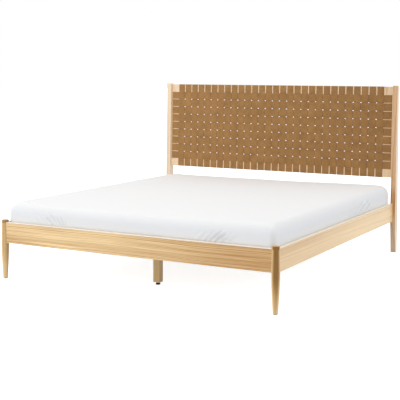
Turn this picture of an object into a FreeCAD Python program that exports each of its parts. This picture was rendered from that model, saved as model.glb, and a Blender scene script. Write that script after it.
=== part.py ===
import FreeCAD, Part
import math
import os

# A double bed for a mattress of 1.8 by 2 m. Two turned, tapered legs stand at the foot and two flat,
# tapered posts at the head. Between the posts hangs a framed panel woven from flat webbing straps.
# Side rails, a foot rail and a head rail carry slats, with a middle beam on two square legs.
#
# All lengths are in millimetres. X is the width, +Y runs from the foot to the head, +Z is up.
# The origin is on the floor, in the middle of the bed's width and length.

# Mattress and its fitted sheet
mattress_width = 1800.0
mattress_length = 2000.0
mattress_height = 174.0
mattress_corner_radius = 30.0
mattress_corner_share = 0.6
mattress_corner_limit_share = 0.85
mattress_roundover = 42.0
mattress_side_draw = 3.0
mattress_crown_inset = 420.0
sheet_thickness = 1.0
sheet_hem_width = 90.0
soft_gap = 0.3

# Room left between the mattress and the boards round it
side_room = 6.0
foot_room = 8.0
head_room = 3.0

# Side rails and foot rail
rail_thickness = 26.0
rail_height = 130.0
rail_bottom = 225.0
board_edge_round = 2.0

# Turned legs at the foot
leg_top_radius = 22.0
leg_shoulder_radius = 24.0
leg_middle_radius = 20.6
leg_foot_radius = 14.7
leg_shoulder_drop = 8.0
leg_stands_proud = 13.0
leg_edge_round = 2.5
leg_core_margin = 0.5

# Posts at the head, deepest at the rails and tapered to the top and to the floor
post_width = 36.0
post_depth = 60.0
post_outset = 18.0
post_above_panel = 7.5
post_top_depth = 36.0
post_top_setback = 18.0
post_foot_depth = 36.0
post_foot_setback = 22.0
post_edge_round = 2.5

# Felt glides under the four corners
glide_thickness = 3.0
glide_margin = 3.0

# Low cross rail between the posts
head_rail_thickness = 22.0
head_rail_height = 100.0
head_rail_setback = 15.0

# Woven panel between the posts
panel_bottom = 539.5
panel_setback = 17.0
panel_recline = 1.45
panel_frame_thickness = 20.0
panel_rail_height = 57.0
stile_width = 64.3
strap_thickness = 1.6
strap_seat = 0.1
strap_crossing_gap = 0.3
strap_wrap_radius = 3.0
strap_back_length = 32.0
lip_depth = 1.3
lip_run_on = 0.2
upright_strap_count = 29
upright_strap_gap = 7.6
cross_strap_count = 9
cross_strap_width = 54.4
cross_strap_gap = 5.2
groove_margin = 6.0
groove_width = 4.6
groove_depth = 9.5
groove_chamfer = 1.0
groove_strap_depth = 8.0
groove_turn_radius = 1.7
spline_height = 7.5
staple_length = 11.0
staple_width = 0.9
staple_height = 0.6
staple_offset = 12.0
staple_from_end = 8.0

# Wooden dowels that hold the headboard together
dowel_radius = 4.0
dowel_length = 56.0
dowel_clearance = 0.1
dowel_edge_distance = 18.0
dowel_depth = 13.8
post_dowel_share = 0.42

# Bolts and barrel nuts between the side rails and the posts
bolt_radius = 4.0
bolt_clearance = 0.5
bolt_head_radius = 6.5
bolt_head_height = 8.0
bolt_socket_radius = 3.0
bolt_socket_depth = 4.0
bolt_counterbore_depth = 10.0
bolt_counterbore_radius = 8.0
bolt_edge_distance = 35.0
barrel_nut_radius = 7.0
barrel_nut_length = 20.0
barrel_nut_distance = 35.0
barrel_nut_sink = 1.0
bolt_past_nut = 10.0

# Steel corner brackets between the rails at the foot, each drawn to its leg by a stud and a nut
bracket_thickness = 2.5
bracket_reach = 45.0
bracket_flange = 30.0
bracket_bend_radius = 5.0
bracket_height = 44.0
bracket_rise = 8.0
stud_past_axis = 8.0
stud_past_nut = 5.0
nut_width = 13.0
nut_height = 6.5
thread_clearance = 0.1

# Wood screws
screw_radius = 2.0
screw_length = 17.0
screw_head_radius = 4.0
screw_head_height = 2.2
screw_edge_distance = 11.0
slat_screw_length = 34.0
ledge_screw_length = 38.0
ledge_screw_count = 8

# Ledges on the side rails
ledge_width = 25.0
ledge_height = 35.0
ledge_foot_gap = 82.0
ledge_head_gap = 62.0

# Slats and the two tapes that keep them apart
slat_count = 14
slat_width = 70.0
slat_thickness = 18.0
slat_top = 300.0
slat_end_room = 3.0
slat_edge_round = 2.0
slat_end_margin = 3.0
tape_width = 25.0
tape_thickness = 1.2
tape_gap = 0.2
tape_from_middle = 780.0

# Middle beam, the steel saddles at its ends and its two legs
beam_width = 40.0
beam_height = 55.0
saddle_wall = 2.0
saddle_gap = 0.3
saddle_depth = 38.0
saddle_wing = 22.0
saddle_side_height = 40.0
middle_leg_width = 44.0
middle_leg_inset = 317.0
middle_leg_edge_round = 2.0
middle_leg_bottom = 17.0
middle_stud_in_leg = 30.0
middle_stud_in_beam = 34.0

# Levelling foot under each middle leg
insert_flange_radius = 11.0
insert_flange_thickness = 1.5
insert_barrel_radius = 5.6
insert_barrel_length = 13.0
foot_screw_radius = 3.9
foot_screw_reach = 30.0
foot_screw_well = 36.0
foot_screw_well_radius = 4.6
foot_travel = 10.0
foot_gap = 0.3
collar_width = 17.0
collar_height = 3.0
neck_radius = 3.4
ball_radius = 6.0
ball_height = 3.0
ball_floor = 4.7
pad_radius = 14.0
pad_height = 11.6
pad_top_radius = 11.0
pad_rim_height = 6.0
pad_chamfer = 1.5

# How far a cutting tool runs past the piece that it cuts
overrun = 1.0

# Places that follow from the sizes above
side_rail_inner = mattress_width / 2 + side_room
side_rail_outer = side_rail_inner + rail_thickness
leg_axis_x = side_rail_inner + rail_thickness / 2
post_outer = side_rail_outer + post_outset
post_inner = post_outer - post_width
bay_length = mattress_length + foot_room + head_room
leg_to_post = bay_length + rail_thickness / 2
overall_length = leg_shoulder_radius + leg_to_post + post_depth
post_front = overall_length / 2 - post_depth
leg_axis_y = post_front - leg_to_post
foot_rail_inner = leg_axis_y + rail_thickness / 2
rail_top = rail_bottom + rail_height
leg_top = rail_top + leg_stands_proud
rail_seat = rail_thickness / 2 + leg_core_margin
panel_width = 2 * post_inner
upright_strap_pitch = (panel_width - 2 * stile_width) / upright_strap_count
upright_strap_width = upright_strap_pitch - upright_strap_gap
cross_strap_pitch = cross_strap_width + cross_strap_gap
panel_opening_height = cross_strap_count * cross_strap_pitch
panel_height = panel_opening_height + 2 * panel_rail_height
panel_rail_reach = panel_rail_height + cross_strap_gap / 2 - strap_crossing_gap
stile_inner = post_inner - stile_width - upright_strap_gap / 2 + strap_crossing_gap
panel_top = panel_bottom + panel_height * math.cos(math.radians(panel_recline))
post_top = panel_top + post_above_panel
head_rail_front = post_front + head_rail_setback
slat_bottom = slat_top - slat_thickness
beam_bottom = slat_bottom - beam_height
ledge_start = foot_rail_inner + ledge_foot_gap
ledge_end = post_front - ledge_head_gap
middle_leg_places = (leg_axis_y + middle_leg_inset, post_front - middle_leg_inset)
sheet_bottom = slat_top + soft_gap
mattress_bottom = sheet_bottom + sheet_thickness + soft_gap
mattress_foot = foot_rail_inner + foot_room

origin = FreeCAD.Vector(0, 0, 0)
along_x = FreeCAD.Vector(1, 0, 0)
along_y = FreeCAD.Vector(0, 1, 0)
along_z = FreeCAD.Vector(0, 0, 1)


def place(x, y, z):
    return FreeCAD.Vector(x, y, z)


def box(low, high):
    size = high - low
    return Part.makeBox(size.x, size.y, size.z, low)


def board(low, high, along, edge_round):
    """A box whose four edges along one direction are rounded."""
    blank = box(low, high)
    edges = [edge for edge in blank.Edges if abs(edge.tangentAt(edge.FirstParameter).dot(along)) > 0.5]
    return blank.makeFillet(edge_round, edges)


def rod(start, direction, length, radius):
    return Part.makeCylinder(radius, length, start, direction)


def hex_prism(centre, direction, width, height, bore_radius):
    """A hexagon of the given width across its flats, with a round bore if the radius isn't zero."""
    corner = width / math.sqrt(3)
    turns = [math.radians(60 * step) for step in range(7)]
    outline = Part.makePolygon([place(corner * math.cos(turn), corner * math.sin(turn), 0) for turn in turns])
    prism = Part.Face(outline).extrude(along_z * height)
    if bore_radius > 0:
        prism = prism.cut(rod(-along_z * overrun, along_z, height + 2 * overrun, bore_radius))
    prism.Placement = FreeCAD.Placement(centre, FreeCAD.Rotation(along_z, direction))
    return prism


def revolved(points, centre):
    """A closed outline of (radius, height) points turned about an upright axis."""
    outline = Part.makePolygon([place(radius, 0, height) for radius, height in points + points[:1]])
    solid = Part.Face(outline).revolve(origin, along_z, 360)
    solid.translate(centre)
    return solid


def mirrored(shape):
    return shape.mirror(origin, along_x)


def on_side(shape, side):
    """The shape itself on the right side (+1), its mirror image on the left side (-1)."""
    return shape if side > 0 else mirrored(shape)


def cut_all(shape, tools):
    return shape.cut(Part.makeCompound(tools)) if tools else shape


def save(name, shape):
    shape.exportStep("parts/" + name + ".step")


def offset_edges(points, radii, offset):
    """Edges beside a path of straight runs, at a signed distance to the left of it.
    A corner with a radius gets an arc round the same centre, and one with none is mitred."""
    runs = [(after - before).normalize() for before, after in zip(points, points[1:])]
    normals = [run.cross(along_z) * -1 for run in runs]
    edges = []
    start = points[0] + normals[0] * offset
    for index in range(1, len(points) - 1):
        corner, radius = points[index], radii[index]
        before, after = runs[index - 1], runs[index]
        turn = before.getAngle(after)
        if radius == 0:
            middle = (normals[index - 1] + normals[index]).normalize()
            end = corner + middle * (offset / math.cos(turn / 2))
            edges.append(Part.makeLine(start, end))
            start = end
            continue
        tangent = radius * math.tan(turn / 2)
        end = corner - before * tangent + normals[index - 1] * offset
        inward = (after - before).normalize()
        centre = corner + inward * (radius / math.cos(turn / 2))
        reach = radius - offset if inward.dot(normals[index - 1]) > 0 else radius + offset
        restart = corner + after * tangent + normals[index] * offset
        edges.append(Part.makeLine(start, end))
        edges.append(Part.Arc(end, centre - inward * reach, restart).toShape())
        start = restart
    edges.append(Part.makeLine(start, points[-1] + normals[-1] * offset))
    return edges


def band(points, radii, thickness, height):
    """A strip of even thickness that stands on a path in the XY plane and rises by a height."""
    left = offset_edges(points, radii, thickness / 2)
    right = offset_edges(points, radii, -thickness / 2)
    first_cap = Part.makeLine(right[0].valueAt(right[0].FirstParameter), left[0].valueAt(left[0].FirstParameter))
    last_cap = Part.makeLine(left[-1].valueAt(left[-1].LastParameter), right[-1].valueAt(right[-1].LastParameter))
    outline = Part.Wire(Part.__sortEdges__(left + [last_cap] + right + [first_cap]))
    return Part.Face(outline).extrude(along_z * height)


def screw(point, inward, length, growth=0):
    """A countersunk wood screw whose flat head is flush at a point. Growth makes its hole."""
    head = Part.makeCone(
        screw_head_radius + growth, screw_radius + growth, screw_head_height, point, inward
    )
    return head.fuse(rod(point, inward, length + growth, screw_radius + growth)).removeSplitter()


def screw_holes(points, inward, length):
    return [screw(point, inward, length, thread_clearance) for point in points]


def even_places(first, last, count):
    return [first + (last - first) * index / (count - 1) for index in range(count)]


def reclined(shape):
    """Carries a piece of the woven panel from its own upright frame to its place between the posts."""
    shape.rotate(origin, along_x, -panel_recline)
    shape.translate(place(0, post_front + panel_setback, panel_bottom))
    return shape


# Woven panel, drawn upright: y = 0 is the front face of its frame, z = 0 its bottom edge

def weave_offset(upright, cross):
    """Where an upright strap lies at a crossing: in front of the middle plane or behind it."""
    lift = (strap_thickness + strap_crossing_gap) / 2
    return -lift if (upright + cross) % 2 == 0 else lift


def woven_path(centres, half_width, offsets, seat):
    """Points along a strap: flat over each strap that it crosses, stepping between them."""
    path = []
    for centre, offset in zip(centres, offsets):
        path.append((centre - half_width, seat + offset))
        path.append((centre + half_width, seat + offset))
    return path


upright_centres = [
    (index - (upright_strap_count - 1) / 2) * upright_strap_pitch for index in range(upright_strap_count)
]
cross_centres = [
    panel_rail_height + (index + 0.5) * cross_strap_pitch for index in range(cross_strap_count)
]
strap_lie = -(strap_thickness / 2 + strap_seat)


def upright_strap(index):
    """Up the front, over the rail's edge and down its back at both ends, and woven between."""
    offsets = [weave_offset(index, cross) for cross in range(cross_strap_count)]
    woven = woven_path(cross_centres, cross_strap_width / 2 + strap_crossing_gap, offsets, strap_lie)
    back = panel_frame_thickness - strap_lie
    over = panel_height - strap_lie
    side_view = [(strap_back_length, back), (strap_lie, back), (strap_lie, strap_lie)]
    side_view += [(panel_rail_height, strap_lie)] + woven
    side_view += [(panel_height - panel_rail_height, strap_lie)]
    side_view += [(over, strap_lie), (over, back), (panel_height - strap_back_length, back)]
    points = [place(height, depth, 0) for height, depth in side_view]
    radii = [0] * len(points)
    for corner in (1, 2, -3, -2):
        radii[corner] = strap_wrap_radius
    strap = band(points, radii, strap_thickness, upright_strap_width)
    # The band's height becomes the strap's width along X, and its path's X becomes the panel's height
    strap.rotate(origin, along_y, -90)
    strap.translate(place(upright_centres[index] + upright_strap_width / 2, 0, 0))
    return strap


groove_outer = post_inner - groove_margin
groove_inner = groove_outer - groove_width
groove_strap_x = groove_inner + strap_seat + strap_thickness / 2


def cross_strap(index):
    """Across the panel, with both ends turned into the grooves of the stiles."""
    offsets = [-weave_offset(upright, index) for upright in range(upright_strap_count)]
    woven = woven_path(upright_centres, upright_strap_width / 2 + strap_crossing_gap, offsets, strap_lie)
    level_end = post_inner - stile_width
    plan = [(-groove_strap_x, groove_strap_depth), (-groove_strap_x, strap_lie), (-level_end, strap_lie)]
    plan += woven
    plan += [(level_end, strap_lie), (groove_strap_x, strap_lie), (groove_strap_x, groove_strap_depth)]
    points = [place(x, y, 0) for x, y in plan]
    radii = [0] * len(points)
    radii[1] = radii[-2] = groove_turn_radius
    strap = band(points, radii, strap_thickness, cross_strap_width)
    strap.translate(place(0, 0, cross_centres[index] - cross_strap_width / 2))
    return strap


def panel_rail_dowels(height):
    """Two dowels across each end joint of a panel rail, which lies at a height."""
    levels = (height + dowel_edge_distance, height + panel_rail_height - dowel_edge_distance)
    return [(place(stile_inner - dowel_length / 2, dowel_depth, level), along_x) for level in levels]


def post_dowels():
    """Dowels from each stile into its post."""
    middle = panel_height / 2
    spread = panel_height * post_dowel_share
    start = post_inner - dowel_length / 2
    return [(place(start, dowel_depth, middle + step * spread), along_x) for step in (-1, 0, 1)]


def dowel_set(seats, growth=0):
    return [
        rod(start - along * growth, along, dowel_length + 2 * growth, dowel_radius + growth)
        for start, along in seats
    ]


top_rail_dowels = panel_rail_dowels(panel_height - panel_rail_height)
bottom_rail_dowels = panel_rail_dowels(0)
panel_dowels = top_rail_dowels + bottom_rail_dowels + post_dowels()
panel_dowel_holes = dowel_set(panel_dowels, dowel_clearance)
panel_dowel_holes += [mirrored(hole) for hole in panel_dowel_holes]


def lip_outline(start, inner, inward):
    """The wedge that bevels an inner edge, where the straps step back: places along the face and depths."""
    past = inner + inward * overrun
    return [(start, 0), (inner, lip_depth), (past, lip_depth), (past, -overrun), (start, -overrun), (start, 0)]


def panel_rail(outer_edge, inward):
    """A rail between the stiles. The straps wrap its outer edge, which is rounded to their bend."""
    inner_edge = outer_edge + inward * panel_rail_reach
    low_z, high_z = sorted((outer_edge, inner_edge))
    rail = box(place(-stile_inner, 0, low_z), place(stile_inner, panel_frame_thickness, high_z))
    edges = [
        edge for edge in rail.Edges
        if edge.Length > 2 * stile_inner - overrun and abs(edge.CenterOfMass.z - outer_edge) < overrun
    ]
    rail = rail.makeFillet(strap_wrap_radius - strap_thickness / 2 - strap_seat, edges)
    start = outer_edge + inward * (panel_rail_height - lip_run_on)
    wedge = [place(-stile_inner - overrun, y, z) for z, y in lip_outline(start, inner_edge, inward)]
    bevel = Part.Face(Part.makePolygon(wedge)).extrude(along_x * 2 * (stile_inner + overrun))
    return cut_all(rail.cut(bevel), panel_dowel_holes)


def stile(side):
    """An upright of the panel frame, with the groove that takes the ends of the cross straps."""
    blank = box(place(stile_inner, 0, 0), place(post_inner, panel_frame_thickness, panel_height))
    wedge = [
        place(x, y, panel_rail_reach)
        for x, y in lip_outline(post_inner - stile_width + lip_run_on, stile_inner, -1)
    ]
    bevel = Part.Face(Part.makePolygon(wedge)).extrude(along_z * (panel_height - 2 * panel_rail_reach))
    chamfered = groove_inner - groove_chamfer
    outline = [
        (chamfered - overrun, -overrun), (chamfered, 0), (groove_inner, groove_chamfer),
        (groove_inner, groove_depth), (groove_outer, groove_depth), (groove_outer, -overrun),
    ]
    points = [place(x, y, panel_rail_height) for x, y in outline + outline[:1]]
    groove = Part.Face(Part.makePolygon(points)).extrude(along_z * panel_opening_height)
    return on_side(cut_all(blank.cut([groove, bevel]), panel_dowel_holes), side)


def spline(side):
    """The strip that wedges the strap ends in a stile's groove."""
    low_x = groove_strap_x + strap_thickness / 2 + strap_seat
    low = place(low_x, groove_depth - spline_height - strap_seat, panel_rail_height + strap_crossing_gap)
    high_z = panel_rail_height + panel_opening_height - strap_crossing_gap
    high = place(groove_outer - strap_seat, groove_depth - strap_seat, high_z)
    return on_side(box(low, high), side)


def staples():
    """Staple crowns over the ends of the upright straps, on the back of the panel."""
    back = panel_frame_thickness + 2 * strap_seat + strap_thickness
    level = strap_back_length - staple_from_end
    crowns = []
    for centre in upright_centres:
        for offset in (-staple_offset, staple_offset):
            for height in (level, panel_height - level):
                low = place(centre + offset - staple_length / 2, back, height - staple_width / 2)
                high = place(centre + offset + staple_length / 2, back + staple_height, height + staple_width / 2)
                crowns.append(box(low, high))
    return Part.makeCompound(crowns)


# Head rail and posts

def head_rail_dowel_seats():
    levels = (rail_bottom + dowel_edge_distance, rail_bottom + head_rail_height - dowel_edge_distance)
    depth = head_rail_front + head_rail_thickness / 2
    return [(place(post_inner - dowel_length / 2, depth, level), along_x) for level in levels]


head_rail_dowel_holes = dowel_set(head_rail_dowel_seats(), dowel_clearance)
head_rail_dowel_holes += [mirrored(hole) for hole in head_rail_dowel_holes]
bolt_x = (post_inner + side_rail_outer) / 2
bolt_levels = (rail_bottom + bolt_edge_distance, rail_top - bolt_edge_distance)
bolt_seat = post_front + post_depth - bolt_counterbore_depth
nut_y = post_front - barrel_nut_distance


def head_rail():
    low = place(-post_inner, head_rail_front, rail_bottom)
    high = place(post_inner, head_rail_front + head_rail_thickness, rail_bottom + head_rail_height)
    rail = board(low, high, along_x, board_edge_round)
    return cut_all(rail, head_rail_dowel_holes + saddle_screw_holes(head_rail_front, 1))


def post(side):
    """A flat post: upright at the rails, its front reclined above them and raked back below them."""
    back = post_depth
    outline = [
        (post_foot_setback, glide_thickness), (0, rail_bottom), (0, rail_top), (post_top_setback, post_top),
        (post_top_setback + post_top_depth, post_top), (back, rail_top), (back, rail_bottom),
        (post_foot_setback + post_foot_depth, glide_thickness),
    ]
    points = [place(post_inner, post_front + y, z) for y, z in outline + outline[:1]]
    blank = Part.Face(Part.makePolygon(points)).extrude(along_x * post_width)
    edges = [edge for edge in blank.Edges if abs(edge.tangentAt(edge.FirstParameter).x) < 0.5]
    blank = blank.makeFillet(post_edge_round, edges)
    tools = [reclined(hole) for hole in dowel_set(post_dowels(), dowel_clearance)]
    tools += dowel_set(head_rail_dowel_seats(), dowel_clearance)
    for level in bolt_levels:
        tools.append(rod(place(bolt_x, post_front - overrun, level), along_y, post_depth + overrun,
                         bolt_radius + bolt_clearance))
        tools.append(rod(place(bolt_x, bolt_seat, level), along_y, bolt_counterbore_depth + overrun,
                         bolt_counterbore_radius))
    return on_side(cut_all(blank, tools), side)


def rail_bolts():
    """Socket-head bolts that pass from the back of each post into the end of its side rail."""
    bolts = []
    length = bolt_seat - nut_y + bolt_past_nut
    for side in (1, -1):
        for level in bolt_levels:
            head = rod(place(bolt_x, bolt_seat, level), along_y, bolt_head_height, bolt_head_radius)
            shank = rod(place(bolt_x, bolt_seat - length, level), along_y, length, bolt_radius)
            socket_y = bolt_seat + bolt_head_height - bolt_socket_depth
            socket = hex_prism(place(bolt_x, socket_y, level), along_y, 2 * bolt_socket_radius,
                               bolt_socket_depth + overrun, 0)
            bolts.append(on_side(head.fuse(shank).removeSplitter().cut(socket), side))
    return Part.makeCompound(bolts)


def barrel_nuts():
    """Cross nuts set in the inner faces of the side rails."""
    nuts = []
    for side in (1, -1):
        for level in bolt_levels:
            low = place(side_rail_inner + barrel_nut_sink, nut_y, level)
            nut = rod(low, along_x, barrel_nut_length, barrel_nut_radius)
            thread = rod(place(bolt_x, nut_y - 2 * barrel_nut_radius, level), along_y, 4 * barrel_nut_radius,
                         bolt_radius + thread_clearance)
            nuts.append(on_side(nut.cut(thread), side))
    return Part.makeCompound(nuts)


# Side rails, foot rail and turned legs

bracket_bottom = rail_bottom + bracket_rise
bracket_screw_levels = (bracket_bottom + screw_edge_distance, bracket_bottom + bracket_height - screw_edge_distance)
bracket_corner = place(side_rail_inner, foot_rail_inner, bracket_bottom + bracket_height / 2)
inward = place(-1, 1, 0).normalize()
leg_to_plate = math.sqrt(2) * ((bracket_reach + bracket_thickness / 2) / 2 + rail_thickness / 2)
ledge_screw_places = even_places(ledge_start + slat_width, ledge_end - slat_width, ledge_screw_count)
ledge_screw_level = slat_bottom - ledge_height / 2


def bracket_screw_points(on_side_rail):
    """Heads of the bracket's screws, flush with its inner faces on the right side of the bed."""
    along = bracket_reach + bracket_flange / 2 + bracket_bend_radius / 2
    if on_side_rail:
        x, y = side_rail_inner - bracket_thickness, foot_rail_inner + along
    else:
        x, y = side_rail_inner - along, foot_rail_inner + bracket_thickness
    return [place(x, y, level) for level in bracket_screw_levels]


def ledge_screw_points():
    return [place(side_rail_inner - ledge_width, y, ledge_screw_level) for y in ledge_screw_places]


def leg_stud(growth=0):
    """The stud that runs from a foot leg through the inner corner of the rails."""
    start = place(leg_axis_x, leg_axis_y, bracket_corner.z) - inward * (stud_past_axis + growth)
    length = stud_past_axis + leg_to_plate + bracket_thickness / 2 + nut_height + stud_past_nut
    return rod(start, inward, length + 2 * growth, bolt_radius + growth)


def side_rail(side):
    low = place(side_rail_inner, leg_axis_y + rail_seat, rail_bottom)
    high = place(side_rail_outer, post_front, rail_top)
    tools = [leg_stud(bolt_clearance)]
    tools += screw_holes(bracket_screw_points(True), along_x, screw_length)
    tools += screw_holes(ledge_screw_points(), along_x, ledge_screw_length)
    for level in bolt_levels:
        nut_hole = place(side_rail_inner - overrun, nut_y, level)
        tools.append(rod(nut_hole, along_x, barrel_nut_length + barrel_nut_sink + 2 * overrun,
                         barrel_nut_radius + thread_clearance))
        shank_hole = place(bolt_x, nut_y - 2 * bolt_past_nut, level)
        tools.append(rod(shank_hole, along_y, post_front - shank_hole.y + overrun,
                         bolt_radius + bolt_clearance))
    return on_side(cut_all(board(low, high, along_y, board_edge_round), tools), side)


def foot_rail():
    half = leg_axis_x - rail_seat
    low = place(-half, leg_axis_y - rail_thickness / 2, rail_bottom)
    high = place(half, foot_rail_inner, rail_top)
    one_side = [leg_stud(bolt_clearance)] + screw_holes(bracket_screw_points(False), -along_y, screw_length)
    tools = one_side + [mirrored(tool) for tool in one_side] + saddle_screw_holes(foot_rail_inner, -1)
    return cut_all(board(low, high, along_x, board_edge_round), tools)


def foot_leg(side):
    """A turned leg: thickest just under the rails and tapered to the floor, housed for two rails."""
    shoulder = rail_bottom - leg_shoulder_drop
    low = place(leg_foot_radius, 0, glide_thickness)
    middle = place(leg_middle_radius, 0, (glide_thickness + shoulder) / 2)
    high = place(leg_shoulder_radius, 0, shoulder)
    crown = place(leg_top_radius, 0, leg_top)
    edges = [
        Part.makeLine(place(0, 0, glide_thickness), low),
        Part.Arc(low, middle, high).toShape(),
        Part.makeLine(high, crown),
        Part.makeLine(crown, place(0, 0, leg_top)),
        Part.makeLine(place(0, 0, leg_top), place(0, 0, glide_thickness)),
    ]
    turned = Part.Face(Part.Wire(edges)).revolve(origin, along_z, 360)
    rims = [edge for edge in turned.Edges if edge.isClosed() and edge.valueAt(edge.FirstParameter).z != shoulder]
    turned = turned.makeFillet(leg_edge_round, rims)
    turned.translate(place(leg_axis_x, leg_axis_y, 0))
    reach = 2 * leg_shoulder_radius
    half = rail_thickness / 2
    foot_housing = box(place(leg_axis_x - reach, leg_axis_y - half, rail_bottom),
                       place(leg_axis_x - rail_seat, leg_axis_y + half, rail_top))
    side_housing = box(place(leg_axis_x - half, leg_axis_y + rail_seat, rail_bottom),
                       place(leg_axis_x + half, leg_axis_y + reach, rail_top))
    return on_side(cut_all(turned, [foot_housing, side_housing, leg_stud(thread_clearance)]), side)


def corner_bracket(side):
    """A bent steel plate across the inner corner, screwed to both rails."""
    inner = bracket_thickness / 2
    far = bracket_reach + bracket_flange
    corners = [(-inner, far), (-inner, bracket_reach), (-bracket_reach, inner), (-far, inner)]
    points = [place(side_rail_inner + x, foot_rail_inner + y, 0) for x, y in corners]
    plate = band(points, [0, bracket_bend_radius, bracket_bend_radius, 0], bracket_thickness, bracket_height)
    plate.translate(place(0, 0, bracket_bottom))
    tools = [leg_stud(bolt_clearance)]
    tools += screw_holes(bracket_screw_points(True), along_x, screw_length)
    tools += screw_holes(bracket_screw_points(False), -along_y, screw_length)
    return on_side(cut_all(plate, tools), side)


def leg_studs():
    return Part.makeCompound([on_side(leg_stud(), side) for side in (1, -1)])


def leg_nuts():
    """Hexagon nuts that draw the foot legs to their brackets."""
    seat = place(leg_axis_x, leg_axis_y, bracket_corner.z) + inward * (leg_to_plate + bracket_thickness / 2)
    nut = hex_prism(seat, inward, nut_width, nut_height, bolt_radius + thread_clearance)
    return Part.makeCompound([on_side(nut, side) for side in (1, -1)])


def bracket_screws():
    screws = [screw(point, along_x, screw_length) for point in bracket_screw_points(True)]
    screws += [screw(point, -along_y, screw_length) for point in bracket_screw_points(False)]
    return Part.makeCompound([on_side(one, side) for one in screws for side in (1, -1)])


# Ledges, slats and their tapes

def slat_low_edges():
    return even_places(ledge_start + slat_end_margin, ledge_end - slat_end_margin - slat_width, slat_count)


def end_slat_screw_points():
    """Screws down through both ends of the first and last slats into the ledges."""
    x = side_rail_inner - ledge_width / 2
    edges = slat_low_edges()
    return [place(x, edge + slat_width / 2, slat_top) for edge in (edges[0], edges[-1])]


def ledge(side):
    low = place(side_rail_inner - ledge_width, ledge_start, slat_bottom - ledge_height)
    high = place(side_rail_inner, ledge_end, slat_bottom)
    tools = screw_holes(ledge_screw_points(), along_x, ledge_screw_length)
    tools += screw_holes(end_slat_screw_points(), -along_z, slat_screw_length)
    return on_side(cut_all(board(low, high, along_y, board_edge_round), tools), side)


def ledge_screws():
    screws = [screw(point, along_x, ledge_screw_length) for point in ledge_screw_points()]
    return Part.makeCompound([on_side(one, side) for one in screws for side in (1, -1)])


def slat(low_edge):
    half = side_rail_inner - slat_end_room
    low = place(-half, low_edge, slat_bottom)
    high = place(half, low_edge + slat_width, slat_top)
    points = [point for point in end_slat_screw_points() if low.y < point.y < high.y]
    holes = screw_holes(points, -along_z, slat_screw_length)
    return cut_all(board(low, high, along_x, slat_edge_round), holes + [mirrored(hole) for hole in holes])


def slat_screws():
    screws = [screw(point, -along_z, slat_screw_length) for point in end_slat_screw_points()]
    return Part.makeCompound([on_side(one, side) for one in screws for side in (1, -1)])


def slat_tapes():
    """Two webbing tapes under the slats, from the first to the last."""
    high_z = slat_bottom - tape_gap
    low = place(tape_from_middle, ledge_start + slat_end_margin, high_z - tape_thickness)
    high = place(tape_from_middle + tape_width, ledge_end - slat_end_margin, high_z)
    return Part.makeCompound([on_side(box(low, high), side) for side in (1, -1)])


# Middle beam, its saddles, its legs and their levelling feet

beam_foot_end = foot_rail_inner + saddle_wall + saddle_gap
beam_head_end = head_rail_front - saddle_wall - saddle_gap
saddle_inner = beam_width / 2 + saddle_gap
saddle_outer = saddle_inner + saddle_wall
saddle_bottom = beam_bottom - saddle_wall


def saddle_screw_points(face_y, direction):
    """Heads of a saddle's two screws. Direction is +1 where they go in towards the head."""
    x = saddle_outer + saddle_wing / 2
    level = beam_bottom + beam_height / 2
    return [place(side * x, face_y - direction * saddle_wall, level) for side in (1, -1)]


def saddle_screw_holes(face_y, direction):
    return screw_holes(saddle_screw_points(face_y, direction), along_y * direction, screw_length)


def beam_saddle(face_y, direction):
    """A steel cradle on the face of a cross rail: a back plate, a floor and two sides."""
    back = face_y - direction * saddle_wall
    front = face_y - direction * saddle_depth
    wing = saddle_outer + saddle_wing
    near, far = min(face_y, back), max(face_y, back)
    plate = box(place(-wing, near, saddle_bottom), place(wing, far, saddle_bottom + beam_height))
    near, far = min(face_y, front), max(face_y, front)
    floor = box(place(-saddle_outer, near, saddle_bottom), place(saddle_outer, far, beam_bottom))
    pieces = [floor]
    for side in (1, -1):
        low_x, high_x = sorted((side * saddle_inner, side * saddle_outer))
        pieces.append(box(place(low_x, near, saddle_bottom),
                          place(high_x, far, beam_bottom + saddle_side_height)))
    return plate.multiFuse(pieces).removeSplitter().cut(
        Part.makeCompound(saddle_screw_holes(face_y, direction)))


def saddle_screws():
    screws = [screw(point, -along_y, screw_length) for point in saddle_screw_points(foot_rail_inner, -1)]
    screws += [screw(point, along_y, screw_length) for point in saddle_screw_points(head_rail_front, 1)]
    return Part.makeCompound(screws)


def middle_stud(y, growth=0):
    low = place(0, y, beam_bottom - middle_stud_in_leg - growth)
    length = middle_stud_in_leg + middle_stud_in_beam + 2 * growth
    return rod(low, along_z, length, bolt_radius + growth)


def centre_beam():
    low = place(-beam_width / 2, beam_foot_end, beam_bottom)
    high = place(beam_width / 2, beam_head_end, slat_bottom)
    return cut_all(board(low, high, along_y, board_edge_round),
                   [middle_stud(y, thread_clearance) for y in middle_leg_places])


def middle_leg(y):
    half = middle_leg_width / 2
    blank = board(place(-half, y - half, middle_leg_bottom), place(half, y + half, beam_bottom), along_z,
                  middle_leg_edge_round)
    bottom = place(0, y, middle_leg_bottom)
    barrel_hole = rod(bottom, along_z, insert_barrel_length + thread_clearance,
                      insert_barrel_radius + thread_clearance)
    well = rod(bottom, along_z, foot_screw_well, foot_screw_well_radius)
    return cut_all(blank, [barrel_hole, well, middle_stud(y, thread_clearance)])


def foot_insert(y):
    """A flanged threaded sleeve pressed into the bottom of a middle leg."""
    flange_bottom = middle_leg_bottom - insert_flange_thickness
    bore = foot_screw_radius + thread_clearance
    outline = [
        (bore, flange_bottom), (insert_flange_radius, flange_bottom), (insert_flange_radius, middle_leg_bottom),
        (insert_barrel_radius, middle_leg_bottom), (insert_barrel_radius, middle_leg_bottom + insert_barrel_length),
        (bore, middle_leg_bottom + insert_barrel_length),
    ]
    return revolved(outline, place(0, y, 0))


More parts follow.
